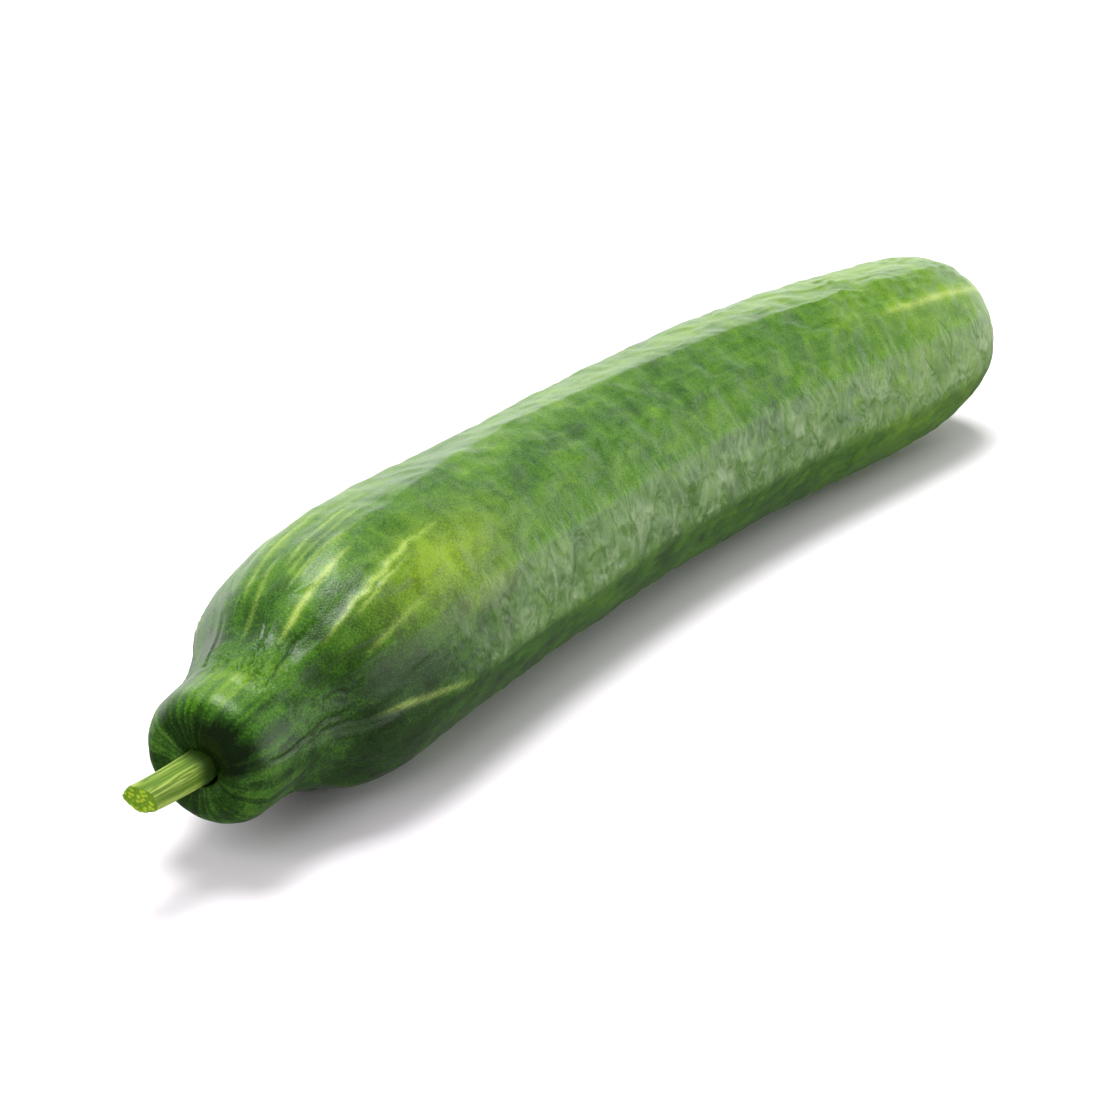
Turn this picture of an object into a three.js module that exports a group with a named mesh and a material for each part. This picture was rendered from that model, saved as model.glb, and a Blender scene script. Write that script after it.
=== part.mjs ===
// A greenhouse cucumber, picked with a short length of its stalk, lying on its side.
// Millimetres, +Z up. X runs from the stalk end to the blossom end, and the body rests on z = 0.
// The fruit is turned as a plain body of revolution first. Each of its points is then lifted by the ribs
// and folds of the skin and carried to its place on the bent centre line.
import * as THREE from "three";

const TURN = 2 * Math.PI;
const DEGREE = Math.PI / 180;

// Whole fruit
const LENGTH = 306;
const SEGMENTS = 72;
const REST_DEPTH = 0.5; // how far the underside is pressed flat where the fruit lies

// Centre line: sideways bend and height at stations along X; the body's height is its own radius, and
// both ends are lifted clear of the surface
const BEND = [[0, 0], [35, 5.5], [80, 10], [130, 12.6], [180, 12.8], [232, 8.6], [277, 2], [306, -1.5]];
const NECK_HEIGHT = 22.4;
const SHOULDER_HEIGHT = 23.8;
const BLOSSOM_HEIGHT = 27;

// Radius of the skin without its ends: neck, shoulder, long body
const RADIUS = [
  [0, 13.6], [8, 14], [15, 14.8], [22, 17.6], [30, 22.3], [40, 25.1], [52, 26.2],
  [70, 26.2], [100, 25.8], [150, 25.8], [210, 26.2], [260, 25.7], [306, 22],
];

// Neck end: a rounded rim round the pit that the stalk stands in
const RIM_LENGTH = 6;
const RIM_RADIUS = 7.2;
const RIM_POWER = 2.2;
const PIT_DEPTH = 2.4;
const SOCKET_RADIUS = 4.1;
const SOCKET_DEPTH = 9;

// Blossom end: a blunt cap with the small dimpled scar of the flower
const CAP_LENGTH = 28;
const CAP_POWER = 3.1;
const SCAR_RADIUS = 3.2;
const SCAR_DEPTH = 0.8;

// Skin: soft ribs with flatter facets between them, at uneven degrees from the -Y side over the top.
// The rib on top is a sharper crest, and it drifts to and fro along the fruit
const RIB_ANGLES = [-50, -11, 27, 53, 80, 116, 152, 190, 228, 268];
const RIB_HEIGHT = 0.4;
const FACET_DIP = 0.7;
const FACET_WIDTH = 36;
const RIBS_START = 15;
const RIBS_FULL = 60;
const CREST_RIB = 4;
const CREST_HEIGHT = 0.5;
const CREST_WIDTH = 13;
const CREST_DRIFT = [[0, 0], [65, 3], [90, 9], [118, 12], [148, 7], [186, 0], [251, -6], [306, -8]];

// Folds that gather the skin where the body narrows to the neck
const FOLD_DEPTH = 0.9;
const FOLD_UNEVENNESS = 0.4;
const FOLD_WAVES = 3;
const FOLD_CENTRE = 24;
const FOLD_REACH = 11;
const FOLD_SHARPNESS = 2;
const GROOVE_COUNT = 16;
const GROOVE_DEPTH = 0.15;

// Stalk: five-ribbed, a little thinner towards its slanted cut
const STEM_ROOT_STATION = 7.5;
const STEM_MIDDLE = [-3, 0, 22.3];
const STEM_TIP = [-14.2, 0.5, 22.7];
const STEM_ROOT_RADIUS = 3.5;
const STEM_TIP_RADIUS = 2.95;
const STEM_RIBS = 5;
const STEM_RIB_SHARE = 0.05;
const STEM_SEGMENTS = 30;
const STEM_STEPS = 10;
const CUT_LEAN_SIDE = 0.4;
const CUT_LEAN_UP = 0.3;

// A smooth line through [station, value] pairs
function along(pairs, station) {
  const last = pairs.length - 1;
  const slope = (from, to) => (pairs[to][1] - pairs[from][1]) / (pairs[to][0] - pairs[from][0]);
  let i = 0;
  while (i < last - 1 && station > pairs[i + 1][0]) {
    i += 1;
  }
  const span = pairs[i + 1][0] - pairs[i][0];
  const t = THREE.MathUtils.clamp((station - pairs[i][0]) / span, 0, 1);
  const slopeIn = slope(Math.max(i - 1, 0), i + 1);
  const slopeOut = slope(i, Math.min(i + 2, last));
  const eased = t * t * (3 - 2 * t);
  const rise = span * slopeIn * t * (1 - t) * (1 - t);
  const fall = span * slopeOut * t * t * (t - 1);
  return pairs[i][1] * (1 - eased) + pairs[i + 1][1] * eased + rise + fall;
}

// The height of the centre line, where the body lies its radius less the pressed depth
const LYING_STATIONS = [60, 90, 125, 165, 210, 255];
const HEIGHT = [
  [0, NECK_HEIGHT],
  [30, SHOULDER_HEIGHT],
  ...LYING_STATIONS.map((station) => [station, along(RADIUS, station) - REST_DEPTH]),
  [LENGTH, BLOSSOM_HEIGHT],
];

function centreLine(station) {
  return new THREE.Vector3(station, along(BEND, station), along(HEIGHT, station));
}

// A frame on the centre line: out to the side at -Y, and up, both square to the line
function frameAt(station) {
  const step = 0.5;
  const ahead = centreLine(station + step).sub(centreLine(station - step)).normalize();
  const side = new THREE.Vector3().crossVectors(ahead, new THREE.Vector3(0, 0, 1)).normalize();
  const up = new THREE.Vector3().crossVectors(side, ahead);
  return { origin: centreLine(station), side, up };
}

// Where an angle lies between its two ribs: 0 on a rib and 1 halfway across a facet of usual width
function facetShare(station, angle) {
  const ribs = RIB_ANGLES.slice();
  ribs[CREST_RIB] += along(CREST_DRIFT, station);
  ribs.push(ribs[0] + 360);
  const degrees = ribs[0] + THREE.MathUtils.euclideanModulo(angle / DEGREE - ribs[0], 360);
  let i = 0;
  while (degrees > ribs[i + 1]) {
    i += 1;
  }
  const width = ribs[i + 1] - ribs[i];
  const share = (degrees - ribs[i]) / width;
  return 4 * share * (1 - share) * width / FACET_WIDTH;
}

// Height of the skin over its plain round form; the angle goes from the -Y side over the top
function relief(station, angle) {
  const neckShare = Math.exp(-(((station - FOLD_CENTRE) / FOLD_REACH) ** 2));
  const endShare = THREE.MathUtils.smoothstep(LENGTH - station, 0, CAP_LENGTH);
  const bodyShare = THREE.MathUtils.smoothstep(station, RIBS_START, RIBS_FULL) * endShare;
  const facet = facetShare(station, angle);
  const crestAngle = (RIB_ANGLES[CREST_RIB] + along(CREST_DRIFT, station)) * DEGREE;
  const offCrest = Math.atan2(Math.sin(angle - crestAngle), Math.cos(angle - crestAngle));
  const crest = CREST_HEIGHT * Math.exp(-((offCrest / (CREST_WIDTH * DEGREE)) ** 2));
  const uneven = 1 - FOLD_UNEVENNESS * Math.cos(FOLD_WAVES * angle);
  const folds = FOLD_DEPTH * uneven * neckShare * facet ** FOLD_SHARPNESS;
  return (RIB_HEIGHT - FACET_DIP * facet + crest) * bodyShare - folds;
}

// The outline turned round the axis, as (radius, station), from the socket's floor to the flower scar
function fruitOutline() {
  const points = [new THREE.Vector2(0, SOCKET_DEPTH), new THREE.Vector2(SOCKET_RADIUS, SOCKET_DEPTH)];
  const funnelSteps = 5;
  for (let i = 0; i < funnelSteps; i += 1) {
    const share = i / funnelSteps;
    const radius = THREE.MathUtils.lerp(SOCKET_RADIUS, RIM_RADIUS, share);
    points.push(new THREE.Vector2(radius, PIT_DEPTH * (1 - share) ** 2));
  }
  const rimSteps = 6;
  for (let i = 0; i < rimSteps; i += 1) {
    const station = RIM_LENGTH * (1 - Math.cos(i / rimSteps * TURN / 4));
    const bulge = (1 - (1 - station / RIM_LENGTH) ** RIM_POWER) ** (1 / RIM_POWER);
    points.push(new THREE.Vector2(THREE.MathUtils.lerp(RIM_RADIUS, along(RADIUS, station), bulge), station));
  }
  const capStart = LENGTH - CAP_LENGTH;
  const neckSteps = 16;
  const shoulderEnd = 56;
  for (let i = 0; i < neckSteps; i += 1) {
    const station = THREE.MathUtils.lerp(RIM_LENGTH, shoulderEnd, i / neckSteps);
    points.push(new THREE.Vector2(along(RADIUS, station), station));
  }
  const bodySteps = 25;
  for (let i = 0; i < bodySteps; i += 1) {
    const station = THREE.MathUtils.lerp(shoulderEnd, capStart, i / bodySteps);
    points.push(new THREE.Vector2(along(RADIUS, station), station));
  }
  const capSteps = 9;
  for (let i = 0; i < capSteps; i += 1) {
    const share = Math.sin(i / capSteps * TURN / 4);
    const round = (1 - share ** CAP_POWER) ** (1 / CAP_POWER);
    const station = capStart + CAP_LENGTH * share;
    points.push(new THREE.Vector2(along(RADIUS, station) * round, station));
  }
  points.push(new THREE.Vector2(SCAR_RADIUS, LENGTH));
  points.push(new THREE.Vector2(0, LENGTH - SCAR_DEPTH));
  return points;
}

// Radial grooves round the pit, strongest on the rim
function rimGrooves(radius, station, angle) {
  const onRim = THREE.MathUtils.smoothstep(radius, SOCKET_RADIUS + 0.5, RIM_RADIUS + 1);
  const fade = 1 - THREE.MathUtils.smoothstep(station, RIM_LENGTH, 2 * RIM_LENGTH);
  return GROOVE_DEPTH * onRim * fade * Math.cos(GROOVE_COUNT * angle);
}

// Carries the points of the turned body to the bent centre line, with the skin's relief
function bendFruit(geometry) {
  const position = geometry.attributes.position;
  const point = new THREE.Vector3();
  for (let i = 0; i < position.count; i += 1) {
    point.fromBufferAttribute(position, i);
    const station = point.y;
    const radius = Math.hypot(point.x, point.z);
    const angle = Math.atan2(point.z, point.x);
    const onSkin = THREE.MathUtils.smoothstep(radius, SCAR_RADIUS, RIM_RADIUS);
    const raised = radius + onSkin * relief(station, angle) - rimGrooves(radius, station, angle);
    const { origin, side, up } = frameAt(station);
    point.copy(origin);
    point.addScaledVector(side, raised * Math.cos(angle));
    point.addScaledVector(up, raised * Math.sin(angle));
    position.setXYZ(i, point.x, point.y, Math.max(point.z, 0));
  }
}

function makeFruit() {
  const geometry = new THREE.LatheGeometry(fruitOutline(), SEGMENTS);
  bendFruit(geometry);
  const skin = new THREE.MeshStandardMaterial({ color: 0x3f7a24, roughness: 0.38, metalness: 0 });
  const mesh = new THREE.Mesh(geometry, skin);
  mesh.name = "fruit";
  return mesh;
}

// A five-ribbed stalk along a short curve, from its root in the socket to the slanted cut
function makeStem() {
  const geometry = new THREE.CylinderGeometry(1, 1, 1, STEM_SEGMENTS, STEM_STEPS);
  const line = new THREE.QuadraticBezierCurve3(
    centreLine(STEM_ROOT_STATION),
    new THREE.Vector3(...STEM_MIDDLE),
    new THREE.Vector3(...STEM_TIP),
  );
  const position = geometry.attributes.position;
  const point = new THREE.Vector3();
  const up = new THREE.Vector3(0, 0, 1);
  for (let i = 0; i < position.count; i += 1) {
    point.fromBufferAttribute(position, i);
    const share = point.y + 0.5;
    const angle = Math.atan2(point.z, point.x);
    const taper = THREE.MathUtils.lerp(STEM_ROOT_RADIUS, STEM_TIP_RADIUS, share);
    const ribbed = taper * (1 + STEM_RIB_SHARE * Math.cos(STEM_RIBS * angle));
    const radius = ribbed * Math.hypot(point.x, point.z);
    const ahead = line.getTangent(share);
    const across = new THREE.Vector3().crossVectors(ahead, up).normalize();
    const over = new THREE.Vector3().crossVectors(across, ahead);
    const slant = CUT_LEAN_SIDE * Math.cos(angle) + CUT_LEAN_UP * Math.sin(angle);
    point.copy(line.getPoint(share));
    point.addScaledVector(across, radius * Math.cos(angle));
    point.addScaledVector(over, radius * Math.sin(angle));
    point.addScaledVector(ahead, radius * slant * share ** 2);
    position.setXYZ(i, point.x, point.y, point.z);
  }
  const green = new THREE.MeshStandardMaterial({ color: 0x9cbf4a, roughness: 0.6, metalness: 0 });
  const mesh = new THREE.Mesh(geometry, green);
  mesh.name = "stem";
  return mesh;
}

// The part's origin is under the middle of the whole cucumber, on the surface it lies on
const cucumber = new THREE.Group();
cucumber.add(makeFruit(), makeStem());
const box = new THREE.Box3().setFromObject(cucumber, true);
const middle = box.getCenter(new THREE.Vector3());
cucumber.position.set(-middle.x, -middle.y, -box.min.z);

export default cucumber;
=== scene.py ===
# The looks of a greenhouse cucumber lying on a white surface, in soft studio light.
# Lengths in this file are millimetres until a mesh is made, and angles are degrees round the fruit,
# measured from its -Y side over the top. A station is a place along the fruit, from the stalk end.
import math

import bpy
import numpy as np
from mathutils import Euler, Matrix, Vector


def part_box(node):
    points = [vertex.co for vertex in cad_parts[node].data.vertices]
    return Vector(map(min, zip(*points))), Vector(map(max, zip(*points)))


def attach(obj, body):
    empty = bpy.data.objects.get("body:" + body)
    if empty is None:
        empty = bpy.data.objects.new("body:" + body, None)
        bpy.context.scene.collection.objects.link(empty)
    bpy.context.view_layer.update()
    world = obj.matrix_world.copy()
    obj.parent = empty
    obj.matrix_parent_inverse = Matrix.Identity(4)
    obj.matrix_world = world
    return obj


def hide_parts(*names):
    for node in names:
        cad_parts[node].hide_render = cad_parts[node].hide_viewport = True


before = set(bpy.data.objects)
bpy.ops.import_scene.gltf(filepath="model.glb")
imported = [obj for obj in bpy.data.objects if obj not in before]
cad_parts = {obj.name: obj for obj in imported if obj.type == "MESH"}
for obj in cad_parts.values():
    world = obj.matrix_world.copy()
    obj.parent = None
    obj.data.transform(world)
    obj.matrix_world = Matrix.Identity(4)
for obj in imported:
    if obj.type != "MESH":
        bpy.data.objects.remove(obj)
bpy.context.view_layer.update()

MM = 0.001

# Whole fruit
LENGTH = 306
REST_DEPTH = 0.5

# Mesh of the fruit: rows in each part, columns that stand closer where they face the camera, and the
# share of the texture left free at each end
PIT_ROWS = 12
RIM_ROWS = 18
NECK_ROWS = 78
NECK_END = 34
SHOULDER_ROWS = 50
SHOULDER_END = 64
BODY_ROWS = 236
CAP_ROWS = 38
COLUMNS = 216
CLOSEST_ANGLE = 55
CLOSER = 20
UV_BORDER = 0.01

# Centre line and plain radius, as [station, value]
BEND = [[0, 0], [35, 5.5], [80, 10], [130, 12.6], [180, 12.8], [232, 8.6], [277, 2], [306, -1.5]]
NECK_HEIGHT = 22.4
SHOULDER_HEIGHT = 23.8
BLOSSOM_HEIGHT = 27
LYING_STATIONS = [60, 90, 125, 165, 210, 255]
RADIUS = [
    [0, 13.6], [8, 14], [15, 14.8], [22, 17.6], [30, 22.3], [40, 25.1], [52, 26.2],
    [70, 26.2], [100, 25.8], [150, 25.8], [210, 26.2], [260, 25.7], [306, 22],
]

# Neck end
RIM_LENGTH = 6
RIM_RADIUS = 7.2
RIM_POWER = 2.2
PIT_DEPTH = 0.6
SOCKET_RADIUS = 3.9
SOCKET_DEPTH = 9

SOCKET_PLACES = (8, 6.75, 5.5, 4.25, 3)

# Blossom end
CAP_LENGTH = 28
CAP_POWER = 3.1
SCAR_RADIUS = 3.2
SCAR_DEPTH = 0.8
SCAR_RINGS = (0.8, 0.6, 0.4, 0.2)

# Ribs and the flatter facets between them
RIB_ANGLES = [-50, -11, 27, 53, 80, 116, 152, 190, 228, 268]
RIB_HEIGHT = 0.4
FACET_DIP = 0.7
FACET_WIDTH = 36
RIBS_START = 15
RIBS_FULL = 60
CREST_RIB = 4
CREST_HEIGHT = 0.5
CREST_WIDTH = 13
CREST_DRIFT = [[0, 0], [65, 3], [90, 9], [118, 12], [148, 7], [186, 0], [251, -6], [306, -8]]

# Folds at the neck
FOLD_DEPTH = 0.9
FOLD_UNEVENNESS = 0.4
FOLD_WAVES = 3
FOLD_CENTRE = 24
FOLD_REACH = 11
FOLD_SHARPNESS = 2

# Stalk
STEM_ROOT_STATION = 7.5
STEM_MIDDLE = (-3, 0, 22.3)
STEM_TIP = (-14.2, 0.5, 22.7)
STEM_ROOT_RADIUS = 3.5
STEM_TIP_RADIUS = 2.95
STEM_RIBS = 5
STEM_RIB_SHARE = 0.05
STEM_ROWS = 110
STEM_COLUMNS = 120
RING_HEIGHT = 0.12
RING_PLACE = 0.32
RING_REACH = 0.06
FLUTE_COUNTS = (11, 17, 26)
FLUTE_HEIGHT = 0.035
FLUTE_TWIST = 1.5

# Cut face of the stalk: its lean, the soft edge round it and its rings as shares of the radius
CUT_LEAN_SIDE = 0.4
CUT_LEAN_UP = 0.3
CUT_EDGE_DEPTH = 0.12
CUT_EDGE_SHARE = 0.1
CUT_RINGS = (0.985, 0.95, 0.88, 0.75, 0.6, 0.45, 0.3, 0.15)

# Cracks in the skin near the neck and creases further on: depth, width, then [station, angle] points
CRACKS = [
    (0.5, 0.27, [[13, 59], [14.5, 61], [16, 60.5], [18, 64], [21, 64], [23, 66.5], [25, 64.5], [28, 64.5]]),
    (0.45, 0.28, [[20, 27], [22, 27.5], [23.5, 25.5], [24.5, 22.5], [26, 23], [27.5, 25.5]]),
    (0.5, 0.3, [[4.5, 11], [7, 8], [10, 7], [13, 8.5], [16, 9], [18, 12], [20, 13], [22, 11], [26, 14]]),
    (0.35, 0.3, [[18, 6], [21, 5], [23, 5.5], [26, 3], [28, 3], [33, 1]]),
    (0.22, 0.3, [[13.5, 85], [16.5, 87], [19, 85], [21, 84.5], [24, 87]]),
    (0.35, 0.35, [[14, 118], [17, 120], [21, 119], [26, 121]]),
    (0.3, 0.3, [[11, 72], [13.5, 68], [14.5, 74], [16.5, 70]]),
    (0.2, 0.4, [[217, 61], [222, 59], [228, 59.5], [234, 58]]),
    (0.15, 0.4, [[192, 58.5], [196, 57.5], [200, 58]]),
    (0.15, 0.4, [[175, 60], [180, 57.5], [186, 57]]),
    (0.35, 0.4, [[12, 200], [17, 203], [22, 201], [27, 204]]),
    (0.35, 0.4, [[10, 290], [15, 287], [21, 290], [28, 286]]),
]

# Raised crinkles: height, width, then [station, angle] points
CRINKLES = [
    (0.15, 1.1, [[27, 52], [33, 55], [36, 57.5], [39, 56], [42, 58], [46, 57.5], [49, 60],
                 [52, 59.5], [56, 62], [64, 62]]),
    (0.35, 0.85, [[37, 56], [41, 52.5], [46, 54], [50, 51.5]]),
    (0.35, 0.85, [[42, 58], [44, 50], [50, 48]]),
    (0.3, 0.85, [[47, 60], [51, 54], [56, 56]]),
    (0.25, 0.8, [[33, 85], [39, 85], [45, 84], [52, 83]]),
    (0.3, 0.9, [[222, 60.5], [228, 61], [235, 60]]),
]

# Pale yellow streaks: strength, width, then [station, angle] points
STREAKS = [
    (0.85, 0.6, [[21, 73.5], [24, 74], [29, 75], [34, 75.5], [40, 76], [48, 76.5]]),
    (0.7, 0.6, [[25, 52], [30, 54.5], [33, 55], [36, 57.5], [39, 56], [42, 58], [46, 57.5], [49, 60],
                [52, 59.5], [56, 62], [60, 61], [68, 62.5]]),
    (0.5, 0.45, [[33, 51], [37, 52.5], [41, 53], [45, 55], [49, 55], [53, 57]]),
    (0.4, 0.45, [[30, 86], [39, 85.5], [45, 84], [56, 83]]),
    (0.5, 0.45, [[36, 95], [41, 96], [46, 97.5], [52, 97.5], [62, 98]]),
    (0.3, 0.5, [[20, 99], [26, 100], [33, 102], [40, 104]]),
    (0.45, 0.45, [[26, 108], [36, 110], [48, 110.5], [62, 110]]),
    (0.3, 0.45, [[30, 90], [40, 91], [52, 91], [66, 92]]),
    (0.3, 0.5, [[34, 118], [48, 119], [66, 118]]),
    (0.5, 0.6, [[28, 3], [32, 2], [36, 1.5], [41, -1.5], [48, -5], [58, -11]]),
    (0.3, 0.6, [[30, 34], [36, 36], [44, 38], [54, 38]]),
    (0.7, 0.9, [[248, 53], [258, 52.5], [266, 51], [276, 51], [285, 49], [299, 46.5], [310, 46]]),
    (0.4, 0.7, [[22, 150], [32, 152], [46, 151], [60, 150]]),
    (0.4, 0.7, [[24, 222], [34, 224], [50, 222]]),
    (0.5, 0.9, [[250, 140], [272, 141], [290, 138], [310, 137]]),
    (0.4, 0.9, [[256, 262], [276, 262], [304, 264]]),
]

# Random fields: their seed, spare rows before the stalk end and in all, and what brings heights near 1
SEED = 7
ROWS_BEFORE = 5
SPARE_ROWS = 12
FIELD_STRETCH = 1.6

# How far the fields are carried off, in millimetres along the fruit and in degrees round it
DRIFT = 1.8
WARP = 3.5

# Heights of the skin's own small forms
LUMP = 0.1
SMALL_LUMP = 0.09
FLUTED_DENT = 0.22
RIDGED_DENT = 0.3
RIPPLE = 0.07
SMALL_RIPPLE = 0.05
BLOB = 0.08
FAINT_FLUTE = 0.03
FAR_RIDGE = 0.26
WRINKLE = 0.14
BUMP = 0.3
BUMP_RIDGE = 0.22
RIM_GROOVE = 0.03
RIM_GROOVES = 16

# Dents on the back as a share of those in front, and a crack's groove and lips as shares of its depth
BACK_DENTS = 0.4
CRACK_GROOVE = 1.1
CRACK_LIP = 0.1
CRACK_LIP_WIDTHS = 4

# Painted lines: a crack's painted shade for its depth, its width as a share, and the width of the paler
# halo and painted sheen round a streak, as a multiple of the streak's
CRACK_SHADE_DARKNESS = 1.6
CRACK_WIDTH = 0.8
HALO_AND_SHEEN_WIDTHS = 3.2

# How much each place lightens the skin's tone, or darkens it; the shade values paint shade, and the sheen,
# highlight and top light values paint light
NECK_DARKER = 0.26
FAR_END_LIGHTER = 0.17
BELOW_SHADE = 0.1
UNDER_CREST_SHADE = 0.1
ALL_DARKER = 0.1
OVER_CREST_SHEEN = 0.2
KNOB_STRIPES = 0.11
KNOB_LIGHTER = 0.08
KNOB_TOP_HIGHLIGHT = 0.25
PIT_SHADE = 0.12
PIT_SIDE_SHADE = 0.85
SHOULDER_TOP_LIGHT = 0.13
SHOULDER_FRONT_SHADE = 0.22
CRUMPLE_LIGHTER = 0.28
MAIN_STREAK_HIGHLIGHT = 0.16


def along(pairs, stations):
    """A smooth line through [station, value] pairs."""
    pairs = np.asarray(pairs, float)
    places, values = pairs[:, 0], pairs[:, 1]
    slopes = np.empty(len(places))
    slopes[0] = (values[1] - values[0]) / (places[1] - places[0])
    slopes[-1] = (values[-1] - values[-2]) / (places[-1] - places[-2])
    slopes[1:-1] = (values[2:] - values[:-2]) / (places[2:] - places[:-2])
    stations = np.asarray(stations, float)
    i = np.clip(np.searchsorted(places, stations, side="right") - 1, 0, len(places) - 2)
    span = places[i + 1] - places[i]
    t = np.clip((stations - places[i]) / span, 0, 1)
    eased = t * t * (3 - 2 * t)
    rise = span * slopes[i] * t * (1 - t) ** 2
    fall = span * slopes[i + 1] * t * t * (t - 1)
    return values[i] * (1 - eased) + values[i + 1] * eased + rise + fall


def step_between(values, low, high):
    """0 below low, 1 above high and a smooth step between them."""
    t = np.clip((values - low) / (high - low), 0, 1)
    return t * t * (3 - 2 * t)


lying = [[station, float(along(RADIUS, station)) - REST_DEPTH] for station in LYING_STATIONS]
HEIGHT = [[0, NECK_HEIGHT], [30, SHOULDER_HEIGHT], *lying, [LENGTH, BLOSSOM_HEIGHT]]


def centre_line(stations):
    """Points of the line through the middle of the fruit."""
    return np.stack([stations, along(BEND, stations), along(HEIGHT, stations)], -1)


def unit(vectors):
    """The same directions with a length of 1."""
    return vectors / np.linalg.norm(vectors, axis=-1, keepdims=True)


def frames_at(stations):
    """Points of the centre line with their side (at -Y) and up directions, both square to the line."""
    step = 0.5
    ahead = unit(centre_line(stations + step) - centre_line(stations - step))
    side = unit(np.cross(ahead, [0, 0, 1]))
    return centre_line(stations), side, np.cross(side, ahead)


def facet_share(stations, angles):
    """0 on a rib and 1 halfway across a facet of usual width."""
    ribs = np.repeat(np.array(RIB_ANGLES + [RIB_ANGLES[0] + 360], float)[:, None], stations.size, 1)
    ribs[CREST_RIB] += along(CREST_DRIFT, stations.ravel())
    around = ribs[0] + np.mod(angles.ravel() - ribs[0], 360)
    i = np.clip((around >= ribs).sum(0) - 1, 0, len(RIB_ANGLES) - 1)
    low = np.take_along_axis(ribs, i[None], 0)[0]
    width = np.take_along_axis(ribs, i[None] + 1, 0)[0] - low
    share = (around - low) / width
    return (4 * share * (1 - share) * width / FACET_WIDTH).reshape(stations.shape)


def plain_relief(stations, angles):
    """The ribs, the crest and the neck's folds, as the solid has them."""
    neck = np.exp(-(((stations - FOLD_CENTRE) / FOLD_REACH) ** 2))
    body = step_between(stations, RIBS_START, RIBS_FULL) * step_between(LENGTH - stations, 0, CAP_LENGTH)
    facet = facet_share(stations, angles)
    crest_angle = RIB_ANGLES[CREST_RIB] + along(CREST_DRIFT, stations)
    off_crest = np.mod(angles - crest_angle + 180, 360) - 180
    crest = CREST_HEIGHT * np.exp(-((off_crest / CREST_WIDTH) ** 2))
    uneven = 1 - FOLD_UNEVENNESS * np.cos(np.radians(FOLD_WAVES * angles))
    folds = FOLD_DEPTH * uneven * neck * facet ** FOLD_SHARPNESS
    return (RIB_HEIGHT - FACET_DIP * facet + crest) * body - folds


class Field:
    """A smooth random height between about -1 and 1 that closes round the fruit."""

    def __init__(self, seed, cell_length, cells_round):
        rows = int(LENGTH / cell_length) + SPARE_ROWS
        self.values = np.random.default_rng(seed).uniform(-1, 1, (rows, cells_round))
        self.cell_length = cell_length
        self.cells_round = cells_round

    def __call__(self, stations, angles):
        row = stations / self.cell_length + ROWS_BEFORE
        column = np.mod(angles, 360) / 360 * self.cells_round
        i, j = np.floor(row).astype(int), np.floor(column).astype(int)
        u, v = row - i, column - j
        u, v = u * u * u * (u * (6 * u - 15) + 10), v * v * v * (v * (6 * v - 15) + 10)
        i = np.clip(i, 0, len(self.values) - 2)
        left, right = j % self.cells_round, (j + 1) % self.cells_round
        near = self.values[i, left] * (1 - v) + self.values[i, right] * v
        far = self.values[i + 1, left] * (1 - v) + self.values[i + 1, right] * v
        return FIELD_STRETCH * (near * (1 - u) + far * u)


def ridged(heights):
    """Turns a smooth field into thin raised lines on a lower ground."""
    return 1 - 2 * np.minimum(np.abs(heights), 1)


def off_line(stations, angles, points):
    """Distance in millimetres along the skin from each place to a line of [station, angle] points."""
    scale = np.radians(along(RADIUS, stations))
    nearest = np.full(stations.shape, 1e3)
    for (s0, a0), (s1, a1) in zip(points, points[1:]):
        x = stations - s0
        y = (np.mod(angles - a0 + 180, 360) - 180) * scale
        dx = s1 - s0
        dy = (a1 - a0) * scale
        t = np.clip((x * dx + y * dy) / (dx * dx + dy * dy), 0, 1)
        nearest = np.minimum(nearest, np.hypot(x - t * dx, y - t * dy))
    return nearest


def near_angle(angles, centre, reach):
    """1 at an angle round the fruit, falling softly to 0 past the reach on both sides."""
    return np.exp(-(((np.mod(angles - centre + 180, 360) - 180) / reach) ** 2))


def side_share(angles):
    """1 on the flanks of the fruit, where the skin is dented across, and 0 on top and below."""
    turned = np.mod(angles + 90, 360) - 90
    front = step_between(turned, -19, -7) * (1 - step_between(turned, 15, 42))
    back = step_between(turned, 142, 166) * (1 - step_between(turned, 186, 196))
    return front + BACK_DENTS * back


def end_taper(stations, points):
    """0 at both ends of a line of [station, angle] points and 1 between them."""
    share = np.clip((stations - points[0][0]) / (points[-1][0] - points[0][0]), 0, 1)
    return np.sqrt(step_between(share, 0, 0.25) * (1 - step_between(share, 0.6, 1)))


def crumpled(stations, angles):
    """How far the skin is crumpled, mostly on top where the body narrows to the neck."""
    band = step_between(stations, 9, 14) * (1 - step_between(stations, 17, 23))
    return band * (0.2 + 0.8 * near_angle(angles, 76, 27))


def with_lines(relief, stations, angles):
    """The relief with the cracks cut into it, their lips and the raised crinkles."""
    for depth, width, points in CRACKS:
        away = off_line(stations, angles, points)
        relief -= CRACK_GROOVE * depth * np.exp(-((away / width) ** 2))
        relief += CRACK_LIP * depth * np.exp(-((away / (CRACK_LIP_WIDTHS * width)) ** 2))
    for height, width, points in CRINKLES:
        raised = height * end_taper(stations, points)
        relief += raised * np.exp(-((off_line(stations, angles, points) / width) ** 2))
    return relief


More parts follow.
